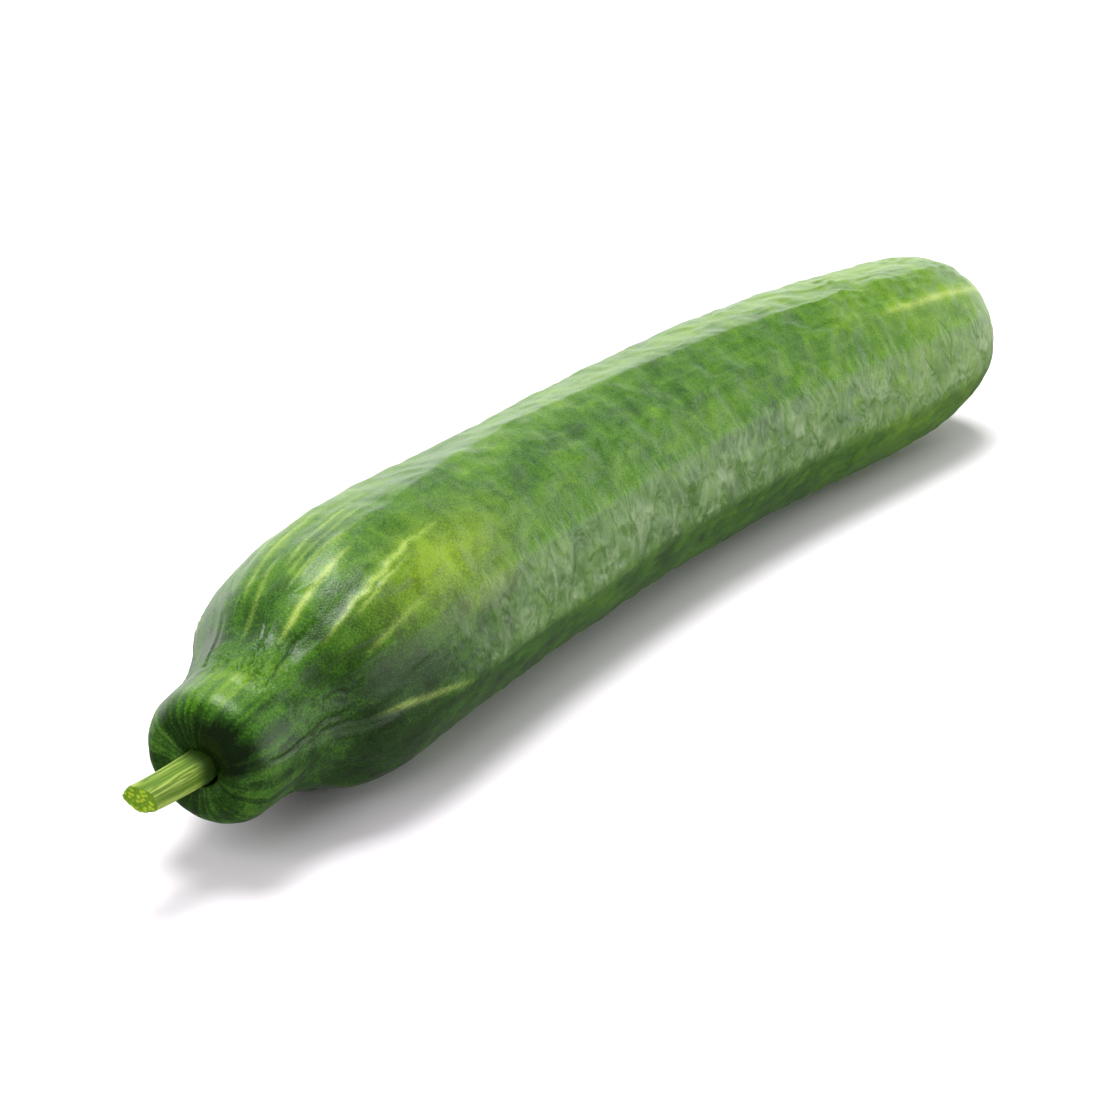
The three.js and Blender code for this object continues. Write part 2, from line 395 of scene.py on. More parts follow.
def fine_relief(stations, angles):
    """The skin's own small forms: dents, ripples, lumps, wrinkles, crinkles and cracks."""
    drift = Field(SEED, 26, 9)
    warp = Field(SEED + 1, 9, 24)
    around = angles + WARP * warp(stations, angles)
    place = stations + DRIFT * drift(stations, angles)
    body = step_between(stations, 26, 62)
    lumps = LUMP * Field(SEED + 2, 14, 11)(place, around)
    lumps = lumps + SMALL_LUMP * Field(SEED + 3, 6, 24)(place, around)
    flutes = Field(SEED + 4, 3.6, 18)(place, around)
    fewer = 0.35 + 0.65 * step_between(Field(SEED + 11, 11, 12)(stations, angles), -0.5, 0.5)
    dents = fewer * (FLUTED_DENT * flutes + RIDGED_DENT * ridged(1.5 * flutes))
    on_side = side_share(angles)
    strips = Field(SEED + 6, 15, 64)(place, around)
    ripples = RIPPLE * ridged(1.3 * strips) + SMALL_RIPPLE * Field(SEED + 7, 5, 40)(place, around)
    facet = np.clip(facet_share(stations, angles), 0, 1)
    relief = body * (lumps + on_side * (0.3 + 0.7 * facet) * dents)
    blobs = Field(SEED + 13, 3.2, 46)(place, around)
    relief += body * (1 - on_side) * (ripples + BLOB * blobs + FAINT_FLUTE * flutes)
    far = step_between(stations, 195, 225)
    upper = np.maximum(near_angle(angles, 80, 30), near_angle(angles, 200, 50))
    ridges = ridged(1.3 * Field(SEED + 14, 15, 40)(place, around))
    relief += far * upper * (FAR_RIDGE * ridges + BLOB * blobs)
    shoulder = np.exp(-(((stations - 32) / 15) ** 2))
    wrinkles = ridged(1.4 * Field(SEED + 8, 24, 52)(place, around))
    relief += shoulder * WRINKLE * wrinkles
    bumps = Field(SEED + 9, 1.9, 46)(place, around)
    relief += crumpled(stations, angles) * (BUMP * bumps + BUMP_RIDGE * ridged(1.3 * bumps))
    return with_lines(relief, stations, angles)


def rim_grooves(radii, stations, angles):
    """Radial grooves round the pit, uneven in width."""
    on_rim = step_between(radii, SOCKET_RADIUS + 0.5, RIM_RADIUS + 1)
    fade = 1 - step_between(stations, RIM_LENGTH, 2 * RIM_LENGTH)
    uneven = Field(SEED + 10, 60, 40)(0 * stations, angles)
    even = np.cos(np.radians(RIM_GROOVES * angles))
    return on_rim * fade * (RIM_GROOVE * even + RIM_GROOVE * uneven)


def fruit_outline():
    """The outline turned round the axis, as radius and station, from the socket to the flower scar."""
    points = [(SOCKET_RADIUS * share, SOCKET_DEPTH) for share in (0.5, 1)]
    points += [(SOCKET_RADIUS, station) for station in SOCKET_PLACES]
    for share in np.linspace(0, 1, PIT_ROWS, endpoint=False):
        radius = SOCKET_RADIUS + (RIM_RADIUS - SOCKET_RADIUS) * share
        points.append((radius, PIT_DEPTH * (1 - share) ** 2))
    for turn in np.linspace(0, math.pi / 2, RIM_ROWS, endpoint=False):
        station = RIM_LENGTH * (1 - math.cos(turn))
        bulge = (1 - (1 - station / RIM_LENGTH) ** RIM_POWER) ** (1 / RIM_POWER)
        radius = float(along(RADIUS, station))
        points.append((RIM_RADIUS + (radius - RIM_RADIUS) * bulge, station))
    cap_start = LENGTH - CAP_LENGTH
    neck_stations = np.linspace(RIM_LENGTH, NECK_END, NECK_ROWS, endpoint=False)
    shoulder_stations = np.linspace(NECK_END, SHOULDER_END, SHOULDER_ROWS, endpoint=False)
    body_stations = np.linspace(SHOULDER_END, cap_start, BODY_ROWS, endpoint=False)
    for station in np.concatenate([neck_stations, shoulder_stations, body_stations]):
        points.append((float(along(RADIUS, station)), station))
    for turn in np.linspace(0, math.pi / 2, CAP_ROWS, endpoint=False):
        share = math.sin(turn)
        station = cap_start + CAP_LENGTH * share
        narrowing = (1 - share ** CAP_POWER) ** (1 / CAP_POWER)
        points.append((float(along(RADIUS, station)) * narrowing, station))
    cap_edge = points[-1][0]
    points += [(radius, LENGTH) for radius in np.linspace(cap_edge, SCAR_RADIUS, 6)[1:]]
    points += [(SCAR_RADIUS * share, LENGTH - SCAR_DEPTH * (1 - share * share)) for share in SCAR_RINGS]
    return np.array(points)


def uv_places(lengths):
    """Where each row lies along the texture, from the lengths between the rows."""
    places = np.concatenate([[0.0], np.cumsum(lengths)])
    return UV_BORDER + (1 - 2 * UV_BORDER) * places / places[-1]


def grid_object(name, rows, first_pole, last_pole, uv_rows):
    """A closed mesh from a grid of points that is round in its columns, with a point at each end."""
    count, columns = rows.shape[:2]
    points = np.concatenate([rows.reshape(-1, 3), [first_pole], [last_pole]]) * MM
    i = np.arange(count - 1)[:, None] * columns
    j = np.arange(columns)
    k = (j + 1) % columns
    quads = np.stack([i + j, i + columns + j, i + columns + k, i + k], -1).reshape(-1, 4)
    pole = count * columns
    last_row = (count - 1) * columns
    faces = quads.tolist()
    faces += [[pole, int(a), int(b)] for a, b in zip(j, k)]
    faces += [[pole + 1, last_row + int(b), last_row + int(a)] for a, b in zip(j, k)]
    mesh = bpy.data.meshes.new(name)
    mesh.from_pydata(points.tolist(), [], faces)
    u, u_next = j / columns, (j + 1) / columns
    v, v_next = uv_rows[:-1, None] + 0 * u, uv_rows[1:, None] + 0 * u
    u0, u1 = u + 0 * v, u_next + 0 * v
    corners = [(u0, v), (u0, v_next), (u1, v_next), (u1, v)]
    quad_uv = np.stack([np.stack(corner, -1) for corner in corners], 2).reshape(-1, 2)
    middle = (u + u_next) / 2
    first_uv = np.stack([[middle, 0 * u], [u, 0 * u + uv_rows[0]], [u_next, 0 * u + uv_rows[0]]])
    last_uv = np.stack([[middle, 0 * u + 1], [u_next, 0 * u + uv_rows[-1]], [u, 0 * u + uv_rows[-1]]])
    fan_uv = [part.transpose(2, 0, 1).reshape(-1, 2) for part in (first_uv, last_uv)]
    layer = mesh.uv_layers.new(name="OFBake")
    layer.data.foreach_set("uv", np.concatenate([quad_uv, *fan_uv]).ravel())
    mesh.polygons.foreach_set("use_smooth", [True] * len(mesh.polygons))
    mesh.update()
    thing = bpy.data.objects.new(name, mesh)
    bpy.context.collection.objects.link(thing)
    return thing


def paint(thing, name, values):
    """Stores a number or a vector for each point, for the materials to read."""
    values = np.asarray(values, float)
    kind = "FLOAT" if values.ndim == 1 else "FLOAT_VECTOR"
    field = "value" if values.ndim == 1 else "vector"
    layer = thing.data.attributes.new(name, kind, "POINT")
    layer.data.foreach_set(field, values.ravel())


def placed(stations, angles, raised):
    """Points on the bent centre line, at a raised radius."""
    origin, side, up = frames_at(stations)
    turn = np.radians(angles)[..., None]
    return origin + raised[..., None] * (np.cos(turn) * side + np.sin(turn) * up)


def cad_shift(points):
    """The move from station places to the frame's places, from the box of the solid fruit."""
    low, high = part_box("fruit")
    middle = (np.array(low) + np.array(high)) / 2 / MM
    own = (points.min((0, 1)) + points.max((0, 1))) / 2
    return np.array([middle[0] - own[0], middle[1] - own[1], 0])


def painted_line(stations, angles, lines, spread):
    """How strongly a list of soft lines that fade at both ends covers each place, from 0 to 1."""
    cover = np.zeros(stations.shape)
    for strength, width, points in lines:
        taper = end_taper(stations, points)
        reach = spread * width * (0.55 + 0.45 * taper)
        away = off_line(stations, angles, points)
        cover = np.maximum(cover, strength * taper * np.exp(-((away / reach) ** 2)))
    return cover


def skin_tone(radii, stations, angles):
    """Lighter above 0 and darker below it: the neck is dark, the knob striped and the far end light, with
    painted shade below, under the crest, round the pit and on the shoulder's front, and painted light over
    the crest, on the knob's top, on the shoulder's top and round the main streak.
    """
    neck = 1 - step_between(stations, 16, 62)
    # Painted shade: the underside, front and back, is darker where it turns away from the light
    lower = near_angle(angles, -35, 24) + near_angle(angles, 235, 30)
    # Painted shade: a dark band just below the crest, along the body
    under_crest_shade = near_angle(angles, 68, 9) * step_between(stations, 62, 85)
    under_crest_shade *= 1 - step_between(stations, 190, 260)
    far_end = step_between(stations, 190, 285)
    tone = -NECK_DARKER * neck + FAR_END_LIGHTER * far_end - BELOW_SHADE * lower
    tone = tone - UNDER_CREST_SHADE * under_crest_shade - ALL_DARKER
    # Painted sheen: a pale band over the crest where the skin mirrors the bright wall
    tone += OVER_CREST_SHEEN * near_angle(angles, 100, 15) * step_between(stations, 70, 140)
    stripes = Field(SEED + 12, 30, 110)(0.3 * stations, angles)
    knob = 1 - step_between(stations, 9, 16)
    # Painted highlight: the top of the knob is lighter where the top light falls
    tone += knob * (KNOB_STRIPES * stripes + KNOB_LIGHTER + KNOB_TOP_HIGHLIGHT * near_angle(angles, 85, 38))
    # Painted shade round the pit, strongest on the knob's front above the stalk
    pit_shade = (1 - step_between(radii, 8, 15)) * (1 - step_between(stations, 3, 8))
    tone -= (PIT_SHADE + PIT_SIDE_SHADE * near_angle(angles, 56, 50)) * pit_shade
    # Painted light and shade on the shoulder: lighter on top, darker in front
    shoulder = step_between(stations, 16, 32) * (1 - step_between(stations, 60, 90))
    lighter = SHOULDER_TOP_LIGHT * near_angle(angles, 118, 32)
    tone += shoulder * (lighter - SHOULDER_FRONT_SHADE * near_angle(angles, 4, 42))
    tone += CRUMPLE_LIGHTER * crumpled(stations, angles)
    # Painted highlight: a satin glow round the main streak on the shoulder
    by_streak = np.exp(-(((stations - 36) / 13) ** 2))
    return tone + MAIN_STREAK_HIGHLIGHT * by_streak * near_angle(angles, 79, 11)


def yellow_patch(stations, angles):
    """The place on the shoulder that has turned yellow, and a smaller one further down."""
    main = np.exp(-(((stations - 60) / 18) ** 2)) * near_angle(angles, 46, 17)
    second = np.exp(-(((stations - 66) / 14) ** 2)) * near_angle(angles, 26, 8)
    return np.maximum(main, 0.6 * second)


def paint_fruit(fruit, radii, stations, angles):
    """Gives each point its place on the straightened fruit and its shares of the skin's markings, painted
    light and shade among them.
    """
    def with_poles(values, first, last):
        return np.concatenate([values.reshape(-1, *values.shape[2:]), [first], [last]])

    turn = np.radians(angles)
    straight = np.stack([radii * np.cos(turn), radii * np.sin(turn), stations], -1)
    paint(fruit, "straight", with_poles(straight, [0, 0, SOCKET_DEPTH], [0, 0, LENGTH]))
    paint(fruit, "tone", with_poles(skin_tone(radii, stations, angles), -1, 0))
    # Painted shade in the cracks, darker where they are deeper
    cracks = [(CRACK_SHADE_DARKNESS * depth, CRACK_WIDTH * width, line) for depth, width, line in CRACKS]
    shoulder = step_between(stations, 28, 46) * (1 - step_between(stations, 80, 180))
    flank = step_between(stations, 40, 75) * (1 - step_between(stations, 292, 305))
    markings = {
        "patch": yellow_patch(stations, angles),
        "streak": painted_line(stations, angles, STREAKS, 1),
        # A paler halo round every streak, partly painted sheen
        "halo_and_sheen": painted_line(stations, angles, STREAKS, HALO_AND_SHEEN_WIDTHS),
        "crack_shade": painted_line(stations, angles, cracks, 1),
        "crumple": crumpled(stations, angles),
        # Also the mask of the painted glints along the shoulder
        "shoulder": shoulder * near_angle(angles, 132, 17),
        # Also the mask of the painted sheen on the side
        "side": flank * side_share(angles),
    }
    for name, shares in markings.items():
        paint(fruit, name, with_poles(shares, 0, 0))


def make_fruit():
    """The fruit's mesh, and the move from station places to the frame's places."""
    outline = fruit_outline()
    radii, stations = outline[:, 0, None], outline[:, 1, None]
    turns = np.arange(COLUMNS) / COLUMNS
    angles = (CLOSEST_ANGLE + 360 * turns - CLOSER * np.sin(2 * math.pi * turns))[None, :]
    radii, stations, angles = np.broadcast_arrays(radii, stations, angles)
    on_skin = step_between(radii, SCAR_RADIUS, RIM_RADIUS)
    plain = radii + on_skin * plain_relief(stations, angles)
    plain_points = placed(stations, angles, plain)
    shift = cad_shift(plain_points)
    on_skin_fine = step_between(radii, SCAR_RADIUS + 1, RIM_RADIUS + 3)
    detail = fine_relief(stations, angles)
    raised = plain + on_skin_fine * detail - rim_grooves(radii, stations, angles)
    points = placed(stations, angles, raised) + shift
    points[..., 2] = np.maximum(points[..., 2], 0)
    lengths = np.hypot(np.diff(outline[:, 0]), np.diff(outline[:, 1]))
    socket = centre_line(np.array([float(SOCKET_DEPTH)]))[0] + shift
    scar = centre_line(np.array([LENGTH - SCAR_DEPTH]))[0] + shift
    fruit = grid_object("cucumber_fruit", points, socket, scar, uv_places(lengths))
    paint_fruit(fruit, radii, stations, angles)
    return fruit, shift


def stem_line(share):
    """Points of the stalk's own line, from root to tip, and the directions ahead along it."""
    root = centre_line(np.array([STEM_ROOT_STATION]))[0]
    middle, tip = np.array(STEM_MIDDLE), np.array(STEM_TIP)
    line = root * (1 - share) ** 2 + middle * 2 * share * (1 - share) + tip * share * share
    return line, unit(2 * (1 - share) * (middle - root) + 2 * share * (tip - middle))


def stem_radii(share, turn):
    """The stalk's radius all round, with its ribs, a faint ring and fine flutes."""
    ribs = 1 + STEM_RIB_SHARE * np.cos(STEM_RIBS * turn)
    radii = ribs[None, :] * (STEM_ROOT_RADIUS + (STEM_TIP_RADIUS - STEM_ROOT_RADIUS) * share)
    radii = radii + RING_HEIGHT * np.exp(-(((share - RING_PLACE) / RING_REACH) ** 2))
    rng = np.random.default_rng(SEED + 20)
    for waves in FLUTE_COUNTS:
        swing = rng.uniform(0, 2 * math.pi)
        radii = radii + FLUTE_HEIGHT * np.cos(waves * turn + swing + FLUTE_TWIST * share)
    return radii


def paint_stem(stem, share, turn):
    """Marks the cut face and its rings, the place along the stalk and its ribs."""
    total = STEM_ROWS + len(CUT_RINGS)
    cut = np.zeros((total, STEM_COLUMNS))
    cut[STEM_ROWS:] = 1
    inner = np.ones((total, STEM_COLUMNS))
    inner[STEM_ROWS:] = np.array(CUT_RINGS)[:, None]
    length = np.ones((total, STEM_COLUMNS))
    length[:STEM_ROWS] = share
    ribs = np.broadcast_to(0.5 + 0.5 * np.cos(STEM_RIBS * turn), (total, STEM_COLUMNS))
    paint(stem, "cut", np.concatenate([cut.ravel(), [0, 1]]))
    paint(stem, "inner", np.concatenate([inner.ravel(), [1, 0]]))
    paint(stem, "along", np.concatenate([length.ravel(), [0, 1]]))
    paint(stem, "rib", np.concatenate([ribs.ravel(), [0, 0]]))


def make_stem(shift):
    """The stalk's mesh: a ribbed tube with a leaning, softly edged cut face of rings."""
    share = np.linspace(0, 1, STEM_ROWS)[:, None]
    turn = np.arange(STEM_COLUMNS) * 2 * math.pi / STEM_COLUMNS
    line, ahead = stem_line(share)
    across = unit(np.cross(ahead, [0, 0, 1]))
    over = np.cross(across, ahead)
    radii = stem_radii(share, turn)
    body = line[:, None] + radii[..., None] * (
        np.cos(turn)[None, :, None] * across[:, None] + np.sin(turn)[None, :, None] * over[:, None]
    )
    lean = CUT_LEAN_SIDE * np.cos(turn) + CUT_LEAN_UP * np.sin(turn)
    body = body + (radii * lean * share ** 2)[..., None] * ahead[:, None]
    root, tip = line[0], np.array(STEM_TIP)
    end_rows = []
    for ring_share in CUT_RINGS:
        ring = tip + (body[-1] - tip) * ring_share
        soft = CUT_EDGE_DEPTH * (1 - min(1, (1 - ring_share) / CUT_EDGE_SHARE))
        end_rows.append(ring - soft * ahead[-1])
    grid = np.concatenate([body, np.array(end_rows)]) + shift
    lengths = np.linalg.norm(np.diff(grid[:, 0], axis=0), axis=1)
    stem = grid_object("cucumber_stem", grid, root + shift, tip + shift, uv_places(lengths))
    paint_stem(stem, share, turn)
    return stem


class Graph:
    """Short calls for the nodes of one material."""

    def __init__(self, name):
        self.material = bpy.data.materials.new(name)
        self.material.use_nodes = True
        self.tree = self.material.node_tree
        self.tree.nodes.clear()
        self.shader = self.tree.nodes.new("ShaderNodeBsdfPrincipled")
        output = self.tree.nodes.new("ShaderNodeOutputMaterial")
        self.tree.links.new(self.shader.outputs["BSDF"], output.inputs["Surface"])

    def feed(self, socket, value):
        """Links a node's output to the socket, or sets the socket to a number or a colour."""
        if isinstance(value, bpy.types.NodeSocket):
            self.tree.links.new(value, socket)
        elif isinstance(value, (tuple, list)) and len(value) == 3 and socket.type == "RGBA":
            socket.default_value = (*value, 1)
        else:
            socket.default_value = value

    def attribute(self, name, output="Fac"):
        node = self.tree.nodes.new("ShaderNodeAttribute")
        node.attribute_name = name
        return node.outputs[output]

    def math(self, operation, *values, clamp=False):
        node = self.tree.nodes.new("ShaderNodeMath")
        node.operation = operation
        node.use_clamp = clamp
        for socket, value in zip(node.inputs, values):
            self.feed(socket, value)
        return node.outputs[0]

    def stretched(self, vector, scale):
        node = self.tree.nodes.new("ShaderNodeVectorMath")
        node.operation = "MULTIPLY"
        self.feed(node.inputs[0], vector)
        self.feed(node.inputs[1], scale)
        return node.outputs[0]

    def noise(self, vector, scale, detail=3.0, roughness=0.55, distortion=0.0):
        node = self.tree.nodes.new("ShaderNodeTexNoise")
        self.feed(node.inputs["Vector"], vector)
        node.inputs["Scale"].default_value = scale
        node.inputs["Detail"].default_value = detail
        node.inputs["Roughness"].default_value = roughness
        node.inputs["Distortion"].default_value = distortion
        return node.outputs["Fac"]

    def cells(self, vector, scale):
        node = self.tree.nodes.new("ShaderNodeTexVoronoi")
        self.feed(node.inputs["Vector"], vector)
        node.inputs["Scale"].default_value = scale
        return node.outputs["Distance"]

    def window(self, value, low, high, to_low=0.0, to_high=1.0):
        """A smooth step from to_low to to_high as the value goes from low to high."""
        node = self.tree.nodes.new("ShaderNodeMapRange")
        node.interpolation_type = "SMOOTHSTEP"
        for socket, number in zip(node.inputs, (value, low, high, to_low, to_high)):
            self.feed(socket, number)
        return node.outputs[0]

    def mix(self, share, first, second):
        """The second colour laid over the first by a share."""
        node = self.tree.nodes.new("ShaderNodeMix")
        node.data_type = "RGBA"
        self.feed(node.inputs[0], share)
        self.feed(node.inputs[6], first)
        self.feed(node.inputs[7], second)
        return node.outputs[2]

    def ramp(self, value, stops):
        """A colour for each value, from [place, colour] stops that may lie beyond 0 and 1."""
        node = self.tree.nodes.new("ShaderNodeValToRGB")
        low, high = stops[0][0], stops[-1][0]
        elements = node.color_ramp.elements
        while len(elements) < len(stops):
            elements.new(0.5)
        for element, (place, colour) in zip(elements, stops):
            element.position = (place - low) / (high - low)
            element.color = (*colour, 1)
        scaled = self.math("DIVIDE", self.math("SUBTRACT", value, low), high - low)
        self.feed(node.inputs[0], scaled)
        return node.outputs[0]

    def bump(self, height, strength, distance):
        node = self.tree.nodes.new("ShaderNodeBump")
        node.inputs["Strength"].default_value = strength
        node.inputs["Distance"].default_value = distance
        self.feed(node.inputs["Height"], height)
        return node.outputs[0]


# Colours of the skin, linear, from the darkest to the palest
# Painted shade, for the pit and in the cracks
SHADE_DARK = (0.004, 0.014, 0.001)
DEEP_GREEN = (0.015, 0.058, 0.002)
MIDDLE_GREEN = (0.042, 0.14, 0.004)
BODY_GREEN = (0.088, 0.216, 0.006)
LIGHT_GREEN = (0.18, 0.33, 0.014)
# Painted sheen: the milky reflection on the side and the glints on the shoulder
SHEEN_PALE = (0.27, 0.38, 0.18)
PATCH_YELLOW = (0.23, 0.36, 0.006)
STREAK_YELLOW = (0.45, 0.58, 0.12)
# The darkest stop is painted shade, reached round the pit
GREENS = [
    (-0.3, SHADE_DARK), (0.1, DEEP_GREEN), (0.33, MIDDLE_GREEN), (0.55, BODY_GREEN), (0.86, LIGHT_GREEN),
]

# Scales of the skin's patterns, per millimetre, from the broadest to the finest
BROAD_SCALE = 0.05
CLUMP_SCALE = 0.09
BLOT_SCALE = 0.16
FOLD_SCALE = 0.2
BAR_SCALE = 0.38
STRIP_SCALE = 0.4
THREAD_SCALE = 0.55
CRUMPLE_SCALE = 0.55
CREASE_SCALE = 0.6
GRAIN_SCALE = 2.4
PORE_SCALE = 2.6

# Share of each pattern, and of the paler halo and painted sheen round the streaks, in the skin's tone
BROAD_SHARE = 0.35
BLOT_SHARE = 0.85
BAR_SHARE = 0.3
GRAIN_SHARE = 0.8
STRIP_SHARE = 0.3
HALO_AND_SHEEN_SHARE = 0.2

# Strength of the painted sheen on the side, in strokes and all over, of the painted glints in pale lines on
# the shoulder and of the painted shade in the cracks
SHEEN_STROKES = 0.36
SHEEN_EVEN = 0.16
GLINT_SHARE = 0.45
CRACK_SHADE_SHARE = 0.95

# Heights of the skin's finest relief in millimetres, and least heights where it is faint
PORE_HEIGHT = 0.06
CREASE_HEIGHT = 0.05
FOLD_HEIGHT = 1.6
LEAST_FOLD = 0.04
RIPPLE_HEIGHT = 0.4
LEAST_RIPPLE = 0.08
CRUMPLE_HEIGHT = 1.2

# Roughness of the skin from its smoothest blots to its roughest ones, and what crumples add to it
SMOOTHEST = 0.34
ROUGHEST = 0.41
CRUMPLE_ROUGHER = 0.2


class SkinPatterns:
    """Noise laid on the straightened fruit: broad, in blots, in bars across it and in strips along it."""

    def __init__(self, g):
        straight = g.attribute("straight", "Vector")
        across = g.stretched(straight, (0.6, 0.6, 1))
        self.broad = g.noise(straight, BROAD_SCALE, 2)
        self.clumps = g.noise(straight, CLUMP_SCALE, 2)
        self.blots = g.noise(straight, BLOT_SCALE, 4, 0.62, 0.5)
        self.folds = g.noise(across, FOLD_SCALE, 2, 0.55, 0.7)
        self.bars = g.noise(across, BAR_SCALE, 4, 0.62, 0.8)
        self.strips = g.noise(g.stretched(straight, (1, 1, 0.07)), STRIP_SCALE, 3, 0.6)
        self.threads = g.noise(g.stretched(straight, (1, 1, 0.05)), THREAD_SCALE, 2, 0.5)
        self.crumples = g.noise(straight, CRUMPLE_SCALE, 2, 0.5, 0.6)
        self.creases = g.noise(straight, CREASE_SCALE, 3, 0.6)
        self.grain = g.noise(straight, GRAIN_SCALE, 2, 0.6)
        self.pores = g.noise(straight, PORE_SCALE, 2, 0.6)


def green_skin(g, patterns):
    """The skin's greens, from the painted tone with its painted light and shade, the patterns and the paler
    halo and painted sheen round the streaks.
    """
    parts = [
        (patterns.broad, BROAD_SHARE), (patterns.blots, BLOT_SHARE), (patterns.bars, BAR_SHARE),
        (patterns.grain, GRAIN_SHARE), (patterns.strips, STRIP_SHARE),
    ]
    tone = g.math("ADD", g.attribute("tone"), 0.5)
    for part, share in parts:
        tone = g.math("MULTIPLY_ADD", g.math("SUBTRACT", part, 0.5), share, tone)
    return g.ramp(g.math("MULTIPLY_ADD", g.attribute("halo_and_sheen"), HALO_AND_SHEEN_SHARE, tone), GREENS)


def painted_sheen_skin(g, patterns, colour):
    """Painted sheen: a milky sheen on the side in clumps of short strokes, and painted glints in thin pale
    lines on the shoulder.
    """
    # Painted sheen on the side, in clumps of strokes
    side = g.attribute("side")
    clumps = g.window(patterns.clumps, 0.36, 0.58)
    strokes = g.math("ADD", g.window(patterns.folds, 0.42, 0.7), g.window(patterns.bars, 0.46, 0.64))
    sheen = g.math("MULTIPLY_ADD", g.math("MULTIPLY", clumps, strokes), SHEEN_STROKES, SHEEN_EVEN)
    sheen = g.math("MULTIPLY", sheen, g.math("MULTIPLY", side, side), clamp=True)
    colour = g.mix(sheen, colour, SHEEN_PALE)
    # Painted glints in thin pale lines along the shoulder
    off_thread = g.math("ABSOLUTE", g.math("SUBTRACT", patterns.threads, 0.5))
    lines = g.math("MULTIPLY", g.attribute("shoulder"), g.window(off_thread, 0.06, 0.0), clamp=True)
    return g.mix(g.math("MULTIPLY", lines, GLINT_SHARE), colour, SHEEN_PALE)


def marked_skin(g, patterns, colour):
    """The yellow patch, the ragged pale streaks and the painted shade in the cracks."""
    speckle = g.math("ADD", patterns.grain, patterns.blots)
    patch_speckle = g.window(speckle, 0.75, 1.2, 0.45, 1.0)
    patch = g.math("MULTIPLY", g.attribute("patch"), patch_speckle, clamp=True)
    colour = g.mix(patch, colour, PATCH_YELLOW)
    streak_speckle = g.window(speckle, 0.8, 1.15, 0.5, 1.05)
    ragged = g.math("MULTIPLY", g.attribute("streak"), streak_speckle, clamp=True)
    colour = g.mix(ragged, colour, STREAK_YELLOW)
    # Painted shade in the cracks
    return g.mix(g.math("MULTIPLY", g.attribute("crack_shade"), CRACK_SHADE_SHARE), colour, SHADE_DARK)


def skin_height(g, patterns):
    """The finest relief, in millimetres: pores, creases, dents on the side, ripples and crumples."""
    pores = g.math("MULTIPLY", patterns.pores, PORE_HEIGHT)
    creases = g.math("MULTIPLY", patterns.creases, CREASE_HEIGHT)
    fold_height = g.math("MULTIPLY_ADD", g.attribute("side"), FOLD_HEIGHT, LEAST_FOLD)
    dents = g.math("MULTIPLY", patterns.folds, fold_height)
    ripple_height = g.math("MULTIPLY_ADD", g.attribute("shoulder"), RIPPLE_HEIGHT, LEAST_RIPPLE)
    ripples = g.math("MULTIPLY", patterns.strips, ripple_height)
    crumple_height = g.math("MULTIPLY", g.attribute("crumple"), CRUMPLE_HEIGHT)
    crumples = g.math("MULTIPLY", patterns.crumples, crumple_height)
    height = g.math("ADD", g.math("ADD", pores, creases), g.math("ADD", dents, ripples))
    return g.math("ADD", height, crumples)


def skin_material():
    """Satin green skin with painted shade and painted sheen, a yellow patch, streaks, cracks and fine
    relief.
    """
    g = Graph("cucumber_skin")
    patterns = SkinPatterns(g)
    colour = painted_sheen_skin(g, patterns, green_skin(g, patterns))
    g.feed(g.shader.inputs["Base Color"], marked_skin(g, patterns, colour))
    satin = g.window(patterns.blots, 0.3, 0.7, SMOOTHEST, ROUGHEST)
    roughness = g.math("MULTIPLY_ADD", g.attribute("crumple"), CRUMPLE_ROUGHER, satin)
    g.feed(g.shader.inputs["Roughness"], roughness)
    g.shader.inputs["IOR"].default_value = 1.45
    g.feed(g.shader.inputs["Normal"], g.bump(skin_height(g, patterns), 1.0, MM))
    return g.material


# Colours of the stalk, linear
STALK_GREEN = (0.135, 0.25, 0.012)
STALK_HIGHLIGHT = (0.42, 0.53, 0.1)
STALK_DARK = (0.09, 0.18, 0.008)
STALK_BASE_SHADE = (0.03, 0.07, 0.008)
CUT_GREEN = (0.115, 0.24, 0.001)
CUT_PALE = (0.32, 0.46, 0.008)

# Scales of the stalk's patterns, per metre
FIBRE_STRETCH = (60, 1000, 1000)
FIBRE_SCALE = 2
CELL_SCALE = 1250

# Height of the stalk's fibres and cells, and how deep light goes into it, in millimetres
FIBRE_HEIGHT = 0.3
LIGHT_DEPTH = 2


